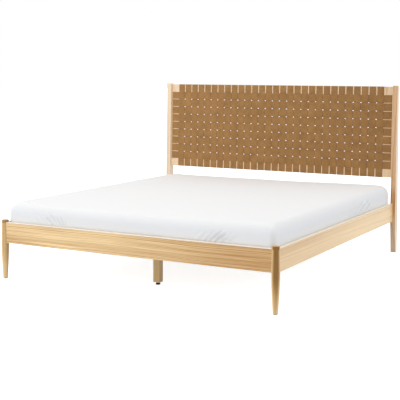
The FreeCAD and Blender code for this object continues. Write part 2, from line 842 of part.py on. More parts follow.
ball_bottom = ball_floor + foot_gap
ball_top = ball_bottom + ball_height
collar_top = middle_leg_bottom - insert_flange_thickness - foot_gap
collar_bottom = collar_top - collar_height


def foot_screw(y):
    """The levelling screw: a round head that turns in the pad, a hexagon collar and a shank."""
    shank_top = middle_leg_bottom + foot_screw_reach
    outline = [
        (0, ball_bottom), (ball_radius, ball_bottom), (ball_radius, ball_top), (neck_radius, ball_top),
        (neck_radius, collar_top), (foot_screw_radius, collar_top), (foot_screw_radius, shank_top), (0, shank_top),
    ]
    stem = revolved(outline, origin)
    collar = hex_prism(place(0, 0, collar_bottom), along_z, collar_width, collar_height, 0)
    screw_solid = stem.fuse(collar).removeSplitter()
    screw_solid.translate(place(0, y, 0))
    return screw_solid


def foot_pad(y):
    """The pad that stands on the floor, hollowed for the screw's round head."""
    lip = neck_radius + foot_gap
    pocket = ball_radius + foot_gap
    outline = [
        (0, 0), (pad_radius - pad_chamfer, 0), (pad_radius, pad_chamfer), (pad_radius, pad_rim_height),
        (pad_top_radius, pad_height), (lip, pad_height), (lip, ball_top + foot_gap),
        (pocket, ball_top + foot_gap), (pocket, ball_floor), (0, ball_floor),
    ]
    return revolved(outline, place(0, y, 0))


# Felt glides, mattress and fitted sheet

def felt_glides():
    """Felt under the turned legs and the posts, set in from their edges."""
    round_glide = rod(place(leg_axis_x, leg_axis_y, 0), along_z, glide_thickness,
                      leg_foot_radius - glide_margin)
    foot_front = post_front + post_foot_setback
    flat_glide = box(place(post_inner + glide_margin, foot_front + glide_margin, 0),
                     place(post_outer - glide_margin, foot_front + post_foot_depth - glide_margin,
                           glide_thickness))
    return Part.makeCompound([on_side(one, side) for one in (round_glide, flat_glide) for side in (1, -1)])


# Shares of the mattress's height and of its roundover, from the bottom up to the rim of the top
mattress_side_shares = (
    (0.0, 0.30), (0.025, 0.13), (0.06, 0.06), (0.15, 0.01), (0.3, 0.0), (0.45, 0.04), (0.6, 0.03), (0.74, 0.0),
    (0.8, 0.02), (0.86, 0.09), (0.91, 0.21), (0.95, 0.40), (0.98, 0.66), (1.0, 1.0),
)
# Shares of the height and of the crown's inset, over the top
mattress_crown_shares = ((1.01, 0.15), (1.022, 0.45), (1.03, 0.8), (1.032, 1.0))


def soft_outline(inset, level):
    """A rounded rectangle with its sides drawn in a little. Its corners grow rounder as it is set in."""
    half_x = mattress_width / 2 - inset
    half_y = mattress_length / 2 - inset
    radius = mattress_corner_radius + mattress_corner_share * max(inset, 0)
    radius = min(radius, mattress_corner_limit_share * min(half_x, half_y))
    draw = mattress_side_draw
    slant = radius * (1 - math.sqrt(0.5))
    straight_x, straight_y = half_x - radius, half_y - radius
    edges = []
    for turn_x, turn_y in ((1, 1), (-1, 1), (-1, -1), (1, -1)):
        side_end = place(turn_x * half_x, turn_y * straight_y, level)
        end_end = place(turn_x * straight_x, turn_y * half_y, level)
        corner = place(turn_x * (half_x - slant), turn_y * (half_y - slant), level)
        first, last = (side_end, end_end) if turn_x == turn_y else (end_end, side_end)
        edges.append(Part.Arc(first, corner, last).toShape())
        if turn_x == turn_y:
            side_middle = place(0, turn_y * (half_y - draw), level)
            edges.append(Part.Arc(last, side_middle, place(-turn_x * straight_x, turn_y * half_y, level)).toShape())
        else:
            side_middle = place(turn_x * (half_x - draw), 0, level)
            edges.append(Part.Arc(last, side_middle, place(turn_x * half_x, -turn_y * straight_y, level)).toShape())
    return Part.Wire(edges)


def soft_form(growth):
    """The mattress's form, grown outwards by an even distance."""
    height = mattress_height + 2 * growth
    base = mattress_bottom - growth
    outlines = [
        soft_outline(inset * mattress_roundover - growth, base + level * height)
        for level, inset in mattress_side_shares
    ]
    outlines += [
        soft_outline(mattress_roundover + inset * mattress_crown_inset - growth, base + level * height)
        for level, inset in mattress_crown_shares
    ]
    form = Part.makeLoft(outlines, True, True)
    form.translate(place(0, mattress_foot + mattress_length / 2, 0))
    return form


def fitted_sheet():
    """A cotton skin over the mattress's top and sides, with a hem turned under it."""
    skin = soft_form(soft_gap + sheet_thickness).cut(soft_form(soft_gap))
    inset = sheet_hem_width + mattress_roundover
    opening = box(
        place(-mattress_width / 2 + inset, mattress_foot + inset, sheet_bottom - overrun),
        place(mattress_width / 2 - inset, mattress_foot + mattress_length - inset, mattress_bottom - soft_gap / 2),
    )
    return skin.cut(opening)


# Every piece is written to its own file

for side_name, side in (("right", 1), ("left", -1)):
    save("head_post_" + side_name, post(side))
    save("foot_leg_" + side_name, foot_leg(side))
    save("side_rail_" + side_name, side_rail(side))
    save("headboard_stile_" + side_name, reclined(stile(side)))
    save("strap_spline_" + side_name, reclined(spline(side)))
    save("corner_bracket_" + side_name, corner_bracket(side))
    save("slat_ledge_" + side_name, ledge(side))

save("foot_rail", foot_rail())
save("head_rail", head_rail())
save("headboard_top_rail", reclined(panel_rail(panel_height, -1)))
save("headboard_bottom_rail", reclined(panel_rail(0, 1)))
uprights = [upright_strap(index) for index in range(upright_strap_count)]
save("upright_straps", reclined(Part.makeCompound(uprights)))
crossings = [cross_strap(index) for index in range(cross_strap_count)]
save("cross_straps", reclined(Part.makeCompound(crossings)))
save("strap_staples", reclined(staples()))

right_dowels = [reclined(dowel) for dowel in dowel_set(panel_dowels)] + dowel_set(head_rail_dowel_seats())
save("headboard_dowels", Part.makeCompound(right_dowels + [mirrored(dowel) for dowel in right_dowels]))
save("rail_bolts", rail_bolts())
save("barrel_nuts", barrel_nuts())
save("leg_studs", leg_studs())
save("leg_nuts", leg_nuts())
save("bracket_screws", bracket_screws())
save("ledge_screws", ledge_screws())
save("slat_screws", slat_screws())
save("saddle_screws", saddle_screws())
save("slat_tapes", slat_tapes())
for number, low_edge in enumerate(slat_low_edges(), 1):
    save("slat_%02d" % number, slat(low_edge))

save("centre_beam", centre_beam())
save("beam_saddle_foot", beam_saddle(foot_rail_inner, -1))
save("beam_saddle_head", beam_saddle(head_rail_front, 1))
save("middle_leg_studs", Part.makeCompound([middle_stud(y) for y in middle_leg_places]))
save("foot_inserts", Part.makeCompound([foot_insert(y) for y in middle_leg_places]))
for place_name, y in zip(("foot", "head"), middle_leg_places):
    save("middle_leg_" + place_name, middle_leg(y))
    save("levelling_screw_" + place_name, foot_screw(y))
    save("levelling_pad_" + place_name, foot_pad(y))

save("felt_glides", felt_glides())
save("mattress", soft_form(0))
save("fitted_sheet", fitted_sheet())
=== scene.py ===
import math

import bpy
import numpy as np
from mathutils import Matrix, Vector


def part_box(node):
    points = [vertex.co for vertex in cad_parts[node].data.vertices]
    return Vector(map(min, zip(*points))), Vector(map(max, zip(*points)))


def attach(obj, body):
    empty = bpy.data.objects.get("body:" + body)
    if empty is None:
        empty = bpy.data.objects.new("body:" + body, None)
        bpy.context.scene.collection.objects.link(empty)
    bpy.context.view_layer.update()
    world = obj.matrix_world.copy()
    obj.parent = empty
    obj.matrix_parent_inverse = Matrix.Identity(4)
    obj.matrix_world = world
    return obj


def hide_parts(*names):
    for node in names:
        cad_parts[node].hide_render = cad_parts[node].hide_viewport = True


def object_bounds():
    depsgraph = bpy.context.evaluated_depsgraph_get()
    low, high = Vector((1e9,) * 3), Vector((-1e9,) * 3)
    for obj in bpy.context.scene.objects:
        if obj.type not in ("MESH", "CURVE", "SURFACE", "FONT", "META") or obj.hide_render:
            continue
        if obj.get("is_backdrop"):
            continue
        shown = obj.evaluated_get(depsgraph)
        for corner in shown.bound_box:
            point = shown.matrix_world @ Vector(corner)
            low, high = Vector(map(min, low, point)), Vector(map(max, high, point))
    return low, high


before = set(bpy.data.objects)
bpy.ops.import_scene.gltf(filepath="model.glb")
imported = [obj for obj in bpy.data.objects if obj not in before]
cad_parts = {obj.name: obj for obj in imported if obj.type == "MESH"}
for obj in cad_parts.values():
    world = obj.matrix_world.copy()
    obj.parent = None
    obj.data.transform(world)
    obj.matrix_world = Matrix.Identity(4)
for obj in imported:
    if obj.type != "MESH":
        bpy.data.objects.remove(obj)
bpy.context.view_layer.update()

# The camera stands at the foot of the bed, to the right of its middle, a little above the headboard's top.
# It looks slightly down, with a small lens shift that keeps the posts nearly upright in the picture.
camera_at = Vector((2.962050, -5.651944, 1.288272))
camera_turn, camera_pitch, camera_roll = (math.radians(angle) for angle in (28.453, -3.5, 0.236))
lens_pixels, picture_pixels, axis_row = 957.589, 400.0, 130.796
sensor_wide = 36
forward = Vector((-math.sin(camera_turn) * math.cos(camera_pitch),
                  math.cos(camera_turn) * math.cos(camera_pitch), math.sin(camera_pitch)))
level = Vector((math.cos(camera_turn), math.sin(camera_turn), 0))
upward = level.cross(forward)
rightward = level * math.cos(camera_roll) + upward * math.sin(camera_roll)
upward = rightward.cross(forward)
camera = bpy.data.objects.new("camera", bpy.data.cameras.new("camera"))
bpy.context.scene.collection.objects.link(camera)
camera.matrix_world = Matrix((
    (rightward[0], upward[0], -forward[0], camera_at[0]),
    (rightward[1], upward[1], -forward[1], camera_at[1]),
    (rightward[2], upward[2], -forward[2], camera_at[2]),
    (0, 0, 0, 1)))
camera.data.sensor_width = sensor_wide
camera.data.lens = lens_pixels * sensor_wide / picture_pixels
camera.data.shift_y = (axis_row - picture_pixels / 2) / picture_pixels
camera.data.clip_end = 200
bpy.context.scene.camera = camera
bpy.context.scene.view_settings.view_transform = "Standard"


# The room: a pale floor that fades into a white ground, and four soft round lamps: one on the left, one on
# the right, one above, and a weak one in front. The ground looks white to the camera and in reflections, and
# lights the bed a little less.
def nodes_of(owner):
    """Empties the node tree of a material or of the world. Returns a shorthand that adds a node, sets or
    links its inputs by name or number, and gives it back."""
    owner.use_nodes = True
    tree = owner.node_tree
    tree.nodes.clear()

    def add(kind, values=(), **settings):
        node = tree.nodes.new(kind)
        for name, value in settings.items():
            setattr(node, name, value)
        for name, value in dict(values).items():
            if isinstance(value, bpy.types.NodeSocket):
                tree.links.new(value, node.inputs[name])
            else:
                node.inputs[name].default_value = value
        return node
    return add


def reckon(add, operation, *values):
    """The result of a sum on one to three numbers."""
    return add("ShaderNodeMath", dict(enumerate(values)), operation=operation).outputs[0]


def spread(add, value, low, high, start=0.0, end=1.0, **settings):
    """A number that goes from low to high while a value goes from start to end."""
    limits = {"From Min": start, "From Max": end, "To Min": low, "To Max": high}
    return add("ShaderNodeMapRange", {"Value": value, **limits}, **settings).outputs[0]


def seen(add):
    """One for rays from the camera and for reflected and bent ones, and zero for the others."""
    path = add("ShaderNodeLightPath").outputs
    plain = reckon(add, "MAXIMUM", path["Is Camera Ray"], path["Is Glossy Ray"])
    return reckon(add, "MAXIMUM", plain, path["Is Transmission Ray"])


def lamp(name, at, aim, size, power):
    """A round soft lamp at one place, turned to another."""
    data = bpy.data.lights.new(name, "AREA")
    data.shape = "DISK"
    data.size = size
    data.energy = power
    lamp_object = bpy.data.objects.new(name, data)
    lamp_object.location = at
    lamp_object.rotation_euler = (Vector(aim) - Vector(at)).to_track_quat("-Z", "Y").to_euler()
    bpy.context.scene.collection.objects.link(lamp_object)


lamp("lamp_left", at=(-3.7, -3.7, 2.9), aim=(-0.4, -0.4, 0.4), size=3.8, power=75)
lamp("lamp_right", at=(5.2, 0.6, 2.6), aim=(0.6, 0.0, 0.4), size=3.6, power=30)
lamp("lamp_above", at=(0.0, -0.4, 4.4), aim=(0.0, 0.0, 0.4), size=3.6, power=38)
lamp("lamp_front", at=(2.4, -6.8, 2.4), aim=(0.0, -0.6, 0.4), size=3.6, power=22)

white, ground_light = (1, 1, 1, 1), 0.78
ground = bpy.data.worlds.new("white_ground")
bpy.context.scene.world = ground
add = nodes_of(ground)
strength = spread(add, seen(add), ground_light, 1.0)
glow = add("ShaderNodeBackground", {"Color": white, "Strength": strength}).outputs[0]
add("ShaderNodeOutputWorld", {"Surface": glow})

floor_reach, floor_colour, floor_glow = 60, (0.72, 0.765, 0.84, 1), 0.84
floor_mesh = bpy.data.meshes.new("floor")
floor_corners = [(east * floor_reach, north * floor_reach, 0)
                 for east, north in ((-1, -1), (1, -1), (1, 1), (-1, 1))]
floor_mesh.from_pydata(floor_corners, [], [(0, 1, 2, 3)])
floor = bpy.data.objects.new("floor", floor_mesh)
bpy.context.scene.collection.objects.link(floor)
floor_paint = bpy.data.materials.new("floor_paint")
add = nodes_of(floor_paint)
matt = add("ShaderNodeBsdfDiffuse", {"Color": floor_colour}).outputs[0]
strength = reckon(add, "MULTIPLY", seen(add), floor_glow)
glow = add("ShaderNodeEmission", {"Color": white, "Strength": strength}).outputs[0]
both = add("ShaderNodeAddShader", {0: matt, 1: glow}).outputs[0]
add("ShaderNodeOutputMaterial", {"Surface": both})
floor_mesh.materials.append(floor_paint)
floor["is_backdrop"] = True


# Solid pine, sawn along the log and planed. The frame and headboard have a satin clear lacquer, the base is
# left bare. Each piece is cut from its own place in a log, so its growth rings and tone run along it and
# differ from the next piece's.
sapwood, heartwood, late_wood = (0.838, 0.575, 0.268), (0.49, 0.245, 0.052), (0.40, 0.150, 0.028)
# The third colour on the next line is the pale of a painted highlight along top edges
pale_sapwood, rosy_heartwood, highlight_colour = (0.80, 0.59, 0.38), (0.50, 0.255, 0.085), (0.93, 0.86, 0.74)
# A heartwood brown deepened further, so that it also serves as painted shade down one side of the legs
shaded_heartwood = (0.22, 0.095, 0.006)
ring_pitch, ripple, ring_shift = 0.0066, 0.004, 2.6
# How dark a ring is at places through it; it starts at 0 and is back there at its end
ring_tones, ring_end = ((0.45, 0.05), (0.70, 0.35), (0.86, 1.0)), 0.96
up, down, to_foot, to_right = (0.0, 0.0, 1.0), (0.0, 0.0, -1.0), (0.0, -1.0, 0.0), (1.0, 0.0, 0.0)


def noise(add, place, scale, detail, distortion=0.0):
    """Smooth noise over a place."""
    values = {"Vector": place, "Scale": scale, "Detail": detail, "Distortion": distortion}
    return add("ShaderNodeTexNoise", values).outputs[0]


def line_noise(add, place, scale, detail):
    """Smooth noise along a line: a number and a colour."""
    values = {"W": place, "Scale": scale, "Detail": detail}
    return add("ShaderNodeTexNoise", values, noise_dimensions="1D").outputs


def reckon_vector(add, operation, *values):
    """The result of a sum on vectors, a length or a product as a number."""
    result = "Value" if operation in ("LENGTH", "DOT_PRODUCT") else "Vector"
    return add("ShaderNodeVectorMath", dict(enumerate(values)), operation=operation).outputs[result]


def blend(add, share, low, high, **settings):
    """The colour at a share of the way from one colour to another."""
    return add("ShaderNodeMix", {0: share, 6: low, 7: high}, data_type="RGBA", **settings).outputs[2]


def bump(add, height, strength, distance):
    """The surface's direction, tilted by a height."""
    return add("ShaderNodeBump", {"Height": height, "Strength": strength, "Distance": distance}).outputs[0]


def principled(add, values):
    """The surface of a material, from the values of its shader."""
    add("ShaderNodeOutputMaterial", {"Surface": add("ShaderNodeBsdfPrincipled", values).outputs[0]})


def pine(name, along, heart, tone=0.0, streaks=0.5, wander=0.03, bands=(), sap=sapwood, deep=heartwood,
         highlight_height=None, lacquer=0.5):
    """Growth rings: distance from the log's heart, which wanders slowly as noise along the piece, plus small
    ripples, counted in ring pitches. Each ring darkens to its late wood and then starts again, and some rings
    are far stronger than others. Tone mixes the sap colour into the deep one, in long streaks and up to all
    of it, and makes it paler below zero. Each of the bands is a direction with two places along it, between
    which the tone changes by an amount, and the rings' strength with it. Above the highlight height, where
    there is one, a painted highlight makes the top edge pale. Lacquer is how much clear coat there is."""
    material = bpy.data.materials.new(name)
    add = nodes_of(material)
    place = add("ShaderNodeTexCoord").outputs["Object"]
    split = add("ShaderNodeSeparateXYZ", {0: place}).outputs
    run = split[along]
    seed = sum(ord(letter) * 0.37 for letter in name) % 50
    sides = [reckon(add, "SUBTRACT", split[axis], centre)
             for axis, centre in zip([axis for axis in "XYZ" if axis != along], heart)]

    def grain(length_share, scale, detail):
        """Noise over the cross-section, drawn out along the piece to a share of its length."""
        drawn = reckon(add, "MULTIPLY_ADD", run, length_share, seed)
        stretched = add("ShaderNodeCombineXYZ", {0: sides[0], 1: sides[1], 2: drawn}).outputs[0]
        return noise(add, stretched, scale, detail)

    # The rings round the wandering heart
    slow = line_noise(add, reckon(add, "MULTIPLY_ADD", run, 0.55, seed), scale=1.0, detail=2.0)[1]
    drift = reckon_vector(add, "ADD", slow, (-0.5, -0.5, -0.5))
    drift = reckon_vector(add, "MULTIPLY", drift, (wander * 2, wander * 2, 0.0))
    flat = add("ShaderNodeCombineXYZ", {0: sides[0], 1: sides[1]}).outputs[0]
    reach = reckon_vector(add, "LENGTH", reckon_vector(add, "ADD", flat, drift))
    reach = reckon(add, "MULTIPLY_ADD", grain(0.09, scale=34.0, detail=2.0), ripple, reach)
    count = reckon(add, "DIVIDE", reach, ring_pitch)
    count = reckon(add, "MULTIPLY_ADD", line_noise(add, count, scale=0.23, detail=2.0)[0], ring_shift, count)
    ramp = add("ShaderNodeValToRGB", {0: reckon(add, "FRACT", count)})
    first, last = ramp.color_ramp.elements
    first.color, last.color, last.position = (0, 0, 0, 1), (0, 0, 0, 1), ring_end
    for position, dark in ring_tones:
        ramp.color_ramp.elements.new(position).color = (dark, dark, dark, 1)
    late = ramp.outputs[0]
    vivid = spread(add, line_noise(add, count, scale=0.75, detail=1.0)[0], 0.10, 1.0, start=0.44, end=0.62)

    # How deep the tone is and how strong the rings are, changed by each of the bands
    depth = spread(add, grain(0.05, scale=24.0, detail=3.0), tone - 0.7 * streaks, tone - 0.4 * streaks,
                   start=0.3, end=0.72)
    depth = reckon(add, "MULTIPLY_ADD", grain(0.03, scale=78.0, detail=3.0), 1.15 * streaks, depth)
    strength = reckon(add, "MULTIPLY", vivid, streaks)
    for direction, low, high, amount in bands:
        rise = reckon_vector(add, "DOT_PRODUCT", place, direction)
        rise = spread(add, rise, 0.0, 1.0, start=low, end=high, interpolation_type="SMOOTHSTEP")
        depth = reckon(add, "MULTIPLY_ADD", rise, amount, depth)
        strength = reckon(add, "MULTIPLY", strength, reckon(add, "MULTIPLY_ADD", rise, 1.8 * amount, 1.0))
    depth = reckon(add, "MINIMUM", depth, 1.0)
    colour = blend(add, depth, (*sap, 1), (*deep, 1), clamp_factor=False)
    colour = blend(add, reckon(add, "MULTIPLY", late, strength), colour, (*late_wood, 1))
    # Painted highlight: above the given height the top edge is made pale
    if highlight_height is not None:
        painted_highlight = spread(add, split["Z"], 0.0, 0.85, start=highlight_height - 0.006, end=highlight_height - 0.002,
                        interpolation_type="SMOOTHSTEP")
        colour = blend(add, painted_highlight, colour, (*highlight_colour, 1))

    # Fine fibres shade the colour, the gloss and the height
    fibre = grain(0.016, scale=620.0, detail=2.0)
    colour = reckon_vector(add, "MULTIPLY", colour, spread(add, fibre, 0.93, 1.04, start=0.3, end=0.7))
    height = reckon(add, "MULTIPLY_ADD", late, 0.5, fibre)
    principled(add, {"Base Color": colour, "Roughness": spread(add, fibre, 0.42, 0.60),
                     "Normal": bump(add, height, strength=0.16, distance=0.0004), "Coat Weight": lacquer,
                     "Coat Roughness": 0.30, "Specular IOR Level": 0.3 + 0.4 * lacquer})
    return material


def finish_node(node, material):
    """Puts a material on a piece whose shape comes as it is."""
    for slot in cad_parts[node].material_slots:
        slot.material = material


# Head posts and foot legs: the posts are flat boards on edge, the legs are turned on a lathe. Down one side
# of each leg, where the lamps reach least, the wood darkens: partly heartwood, partly painted shade. The top
# end is darkened as a painted shade. The rails are bolted to the posts and housed in the legs.
leg_x, leg_y = 0.919, -1.030
for side, sign, toward, low, high, tone, amount in (
        ("right", 1, (0.47, -0.88, 0.0), 0.007, 0.024, 0.04, 1.0),
        ("left", -1, (0.95, -0.31, 0.0), -0.006, 0.018, 0.08, 0.30)):
    axis = Vector((sign * leg_x, leg_y, 0)).dot(Vector(toward))
    # Partly heartwood, partly painted shade: the leg darkens down the side that faces this direction
    heart_and_shade = (toward, axis + low, axis + high, amount)
    # The band at the top is a painted shade over the leg's top end
    pale_foot, top_shade = (down, -0.20, -0.05, -0.30), (up, 0.347, 0.354, 0.40)
    finish_node("foot_leg_" + side, pine("leg_pine_" + side, "Z", (sign * 0.97, -1.10), tone=tone,
                                         wander=0.012, bands=(heart_and_shade, pale_foot, top_shade),
                                         deep=shaded_heartwood, lacquer=0.1))
# Painted shade makes the right post browner on its front, which leans back with the taper, and painted light
# makes it paler along its outer face. Round the side rail's height it darkens, partly heartwood and partly a
# painted shadow of the rail, and pales again below.
post_front_shade = ((0.0, -1.0, 0.0214), -0.9894, -0.9869, 0.55)
post_outside_light = (to_right, 0.9480, 0.9496, -0.30)
post_low_heart_and_shadow, post_foot = (down, -0.50, -0.38, 0.40), (down, -0.24, -0.10, -0.35)
finish_node("head_post_right", pine("post_pine_right", "Z", (0.86, 1.10), tone=0.10, streaks=0.6,
                                    wander=0.012, bands=(post_front_shade, post_outside_light, post_low_heart_and_shadow, post_foot),
                                    sap=pale_sapwood, deep=rosy_heartwood))
finish_node("head_post_left", pine("post_pine_left", "Z", (-0.86, 1.10), tone=-0.14, wander=0.012,
                                   sap=pale_sapwood, lacquer=0.8))

# Side rails: long planed boards on edge, bolted to the posts through barrel nuts and drawn to the legs by
# steel corner brackets. They grow browner towards the top, and towards the foot, so that the head ends are
# paler with a painted reflection of the white room at a grazing angle. A painted highlight runs pale along
# their top edges.
rail_top = 0.355
for side, sign in (("right", 1), ("left", -1)):
    # The band towards the foot makes the head end paler, a painted reflection
    finish_node("side_rail_" + side, pine("side_rail_pine_" + side, "Y", (sign * 0.845, 0.245), tone=-0.17,
                                          streaks=0.40, wander=0.012,
                                          bands=((to_foot, -0.5, 1.0, 0.36), (up, 0.29, 0.33, 0.22)),
                                          highlight_height=rail_top + 0.002))

# Foot rail and head rail: planed boards on edge. The foot rail has bold rings and a painted highlight along
# its top edge. It is browner towards the right, a painted shade where the left lamp's light falls off, and
# along a lower stretch at its left end, under a slanting line.
right_end_shade, low_stretch = (to_right, -0.1, 1.0, 0.75), ((-0.15, 0.0, -1.0), -0.165, -0.125, 0.40)
finish_node("foot_rail", pine("foot_rail_pine", "X", (-1.06, 0.10), streaks=1.5, wander=0.016,
                              bands=(right_end_shade, low_stretch), highlight_height=rail_top))
finish_node("head_rail", pine("head_rail_pine", "X", (1.10, 0.22)))

# The headboard's frame: two rails between two stiles of paler pine, dowelled together and into the posts.
# The stile on the right is a little browner.
finish_node("headboard_top_rail", pine("top_rail_pine", "X", (1.10, 1.10), sap=pale_sapwood))
finish_node("headboard_bottom_rail", pine("bottom_rail_pine", "X", (1.08, 0.50), sap=pale_sapwood))
for side, sign in (("right", 1), ("left", -1)):
    finish_node("headboard_stile_" + side, pine("stile_pine_" + side, "Z", (sign * 0.86, 1.12),
                                                tone=0.12 + 0.12 * sign, sap=pale_sapwood))

# The base: ledges screwed to the side rails, slats across them, and a middle beam on two square legs. All is
# planed and unfinished, but for a thin coat on the legs.
slat_count = 14
for number in range(1, slat_count + 1):
    slat, slat_pine = "slat_%02d" % number, "slat_pine_%02d" % number
    low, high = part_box(slat)
    heart = ((low[1] + high[1]) / 2 + 0.02 * math.sin(number * 2.4), 0.25 - 0.012 * (number % 4))
    finish_node(slat, pine(slat_pine, "X", heart, tone=0.04 * (number % 3), lacquer=0.0))
for side, sign in (("right", 1), ("left", -1)):
    finish_node("slat_ledge_" + side, pine("ledge_pine_" + side, "Y", (sign * 0.85, 0.20), lacquer=0.0))
finish_node("centre_beam", pine("beam_pine", "Y", (0.05, 0.18), lacquer=0.0))
for where in ("foot", "head"):
    finish_node("middle_leg_" + where, pine("middle_leg_pine_" + where, "Z", (0.05, 0.0), tone=-0.16,
                                            lacquer=0.2))

# Beech dowels and splines: plain, fine-grained and pinkish brown. The dowels are glued into the headboard's
# joints, and the splines are pressed into the stiles' grooves, where they wedge the ends of the cross straps.
for node, along in (("headboard_dowels", "X"), ("strap_spline_left", "Z"), ("strap_spline_right", "Z")):
    finish_node(node, pine("beech_" + node, along, (1.2, 1.4), tone=0.35, streaks=0.2, lacquer=0.0))


# Steel: bright zinc on the fasteners, duller on the bent brackets and saddles. Spots of the plating differ a
# little in tone, as zinc crystals do, and handling has left fine scuffs.
def grey(add, shade):
    """A colour with one shade for its red, green and blue."""
    return add("ShaderNodeCombineColor", {0: shade, 1: shade, 2: shade}).outputs[0]


def zinc(name, tone, roughness):
    """A tone that grows with the distance from scattered points. Fine noise sets the roughness and height."""
    material = bpy.data.materials.new(name)
    add = nodes_of(material)
    place = add("ShaderNodeTexCoord").outputs["Object"]
    spangle = add("ShaderNodeTexVoronoi", {"Vector": place, "Scale": 420.0}).outputs["Distance"]
    scuff = noise(add, place, scale=900.0, detail=3.0)
    principled(add, {"Base Color": grey(add, spread(add, spangle, tone * 0.86, tone * 1.1)),
                     "Roughness": spread(add, scuff, roughness - 0.08, roughness + 0.14), "Metallic": 1.0,
                     "Normal": bump(add, scuff, strength=0.1, distance=0.0002)})
    return material


bright_zinc, dull_zinc = zinc("bright_zinc", 0.62, 0.30), zinc("dull_zinc", 0.50, 0.44)
for node in ("strap_staples", "rail_bolts", "barrel_nuts", "leg_studs", "leg_nuts", "bracket_screws",
             "ledge_screws", "slat_screws", "saddle_screws", "middle_leg_studs", "foot_inserts",
             "levelling_screw_foot", "levelling_screw_head"):
    finish_node(node, bright_zinc)
for node in ("corner_bracket_left", "corner_bracket_right", "beam_saddle_foot", "beam_saddle_head"):
    finish_node(node, dull_zinc)

# Levelling pads: moulded black nylon with a fine spark-eroded grain, under the screws that turn in the middle
# legs.
black_nylon = bpy.data.materials.new("black_nylon")
add = nodes_of(black_nylon)
eroded = noise(add, add("ShaderNodeTexCoord").outputs["Object"], scale=2400.0, detail=2.0)
principled(add, {"Base Color": grey(add, spread(add, eroded, 0.010, 0.026)),
                 "Roughness": spread(add, eroded, 0.38, 0.62),
                 "Normal": bump(add, eroded, strength=0.2, distance=0.0002)})
for node in ("levelling_pad_foot", "levelling_pad_head"):
    finish_node(node, black_nylon)


# Felt glides: pressed brown wool, glued under the posts and the turned legs, so that the bed slides without
# scratching the floor.
def two_tones(add, share, low, high):
    """The colour at a share of the way from one colour to another, and no further."""
    ramp = add("ShaderNodeValToRGB", {0: share})
    for element, colour in zip(ramp.color_ramp.elements, (low, high)):
        element.color = (*colour, 1)
    return ramp.outputs[0]


felt = bpy.data.materials.new("pressed_felt")
add = nodes_of(felt)
wool = noise(add, add("ShaderNodeTexCoord").outputs["Object"], scale=1500.0, detail=4.0, distortion=1.5)
principled(add, {"Base Color": two_tones(add, wool, (0.10, 0.075, 0.05), (0.26, 0.20, 0.14)),
                 "Roughness": 0.95, "Normal": bump(add, wool, strength=0.5, distance=0.0006),
                 "Sheen Weight": 0.3})
finish_node("felt_glides", felt)

# Slat tapes: two lengths of plain off-white cotton tape with ribs across it. They run along under the slats
# and keep them evenly apart.
cotton_tape = bpy.data.materials.new("cotton_tape")
add = nodes_of(cotton_tape)
place = add("ShaderNodeTexCoord").outputs["Object"]
ribs = add("ShaderNodeTexWave", {"Vector": place, "Scale": 260.0, "Distortion": 0.4, "Detail": 1.0},
           bands_direction="X").outputs[0]
principled(add, {"Base Color": two_tones(add, ribs, (0.55, 0.52, 0.44), (0.72, 0.69, 0.60)),
                 "Roughness": 0.9, "Normal": bump(add, ribs, strength=0.4, distance=0.0004)})
finish_node("slat_tapes", cotton_tape)


# The straps: flat tan webbing in plain over-and-under weave. The upright ones wrap the panel's rails and are
# stapled behind; the cross ones end in grooves in the stiles. Each lies a little proud where it crosses over.
panel_foot = Vector((0.0, 1.011, 0.5395))
panel_lean = math.radians(1.45)
panel_rail, panel_depth, post_inner = 0.057, 0.020, 0.914
strap_thick, strap_seat, strap_rise, strap_puff, strap_steepness = 0.0016, 0.0001, 0.00095, 0.0002, 14
upright_wide, upright_pitch, upright_count = 0.0510, 0.0586, 29
cross_wide, cross_pitch, cross_count = 0.0544, 0.0596, 9
panel_tall = cross_count * cross_pitch + 2 * panel_rail
strap_depth = -(strap_thick / 2 + strap_seat)


def weave_rise(along, pitch, first, sign):
    """How far a strap stands off the weave's middle plane: a cosine that turns over at each crossing, steep
    between them and pressed flat on them by a hyperbolic tangent, with a low swell in the middle of each."""
    swing = np.cos(np.pi * (along - first) / pitch)
    puff = strap_puff * swing * swing * np.sign(swing)
    return sign * (strap_rise * np.tanh(strap_steepness * swing) + puff)


def woven_places(low, high, pitch, first, count):
    """Places along a strap's front, closest together where it steps from one crossing to the next."""
    shares = np.array([-0.5, -0.478, -0.455, -0.42, -0.34, -0.18, 0.0, 0.18, 0.34, 0.42, 0.455, 0.478])
    woven = (first + pitch * (np.arange(count)[:, None] + shares)).ravel()
    last = first + pitch * (count - 0.5)
    return np.concatenate([np.linspace(low, woven[0], 7)[:-1], woven, np.linspace(last, high, 7)])


def bend(centre, radius, start, end, steps=6):
    """Points on an arc between two angles, in radians."""
    turn = np.linspace(start, end, steps)
    return np.stack([centre[0] + radius * np.cos(turn), centre[1] + radius * np.sin(turn)], 1)


def ring_quads(rings, around):
    """Four-sided faces between neighbouring rings of a grid that closes on itself."""
    ring = np.arange(rings - 1)[:, None] * around
    here = np.arange(around)[None, :]
    after = (here + 1) % around
    corners = [ring + here, ring + after, ring + around + after, ring + around + here]
    return np.stack(corners, 2).reshape(-1, 4)


def smooth_piece(name, points, faces):
    """A smooth-shaded piece in the scene, from its points and faces."""
    mesh = bpy.data.meshes.new(name)
    mesh.from_pydata(points.tolist(), [], faces)
    mesh.polygons.foreach_set("use_smooth", [True] * len(mesh.polygons))
    mesh.update()
    piece = bpy.data.objects.new(name, mesh)
    bpy.context.scene.collection.objects.link(piece)
    return piece


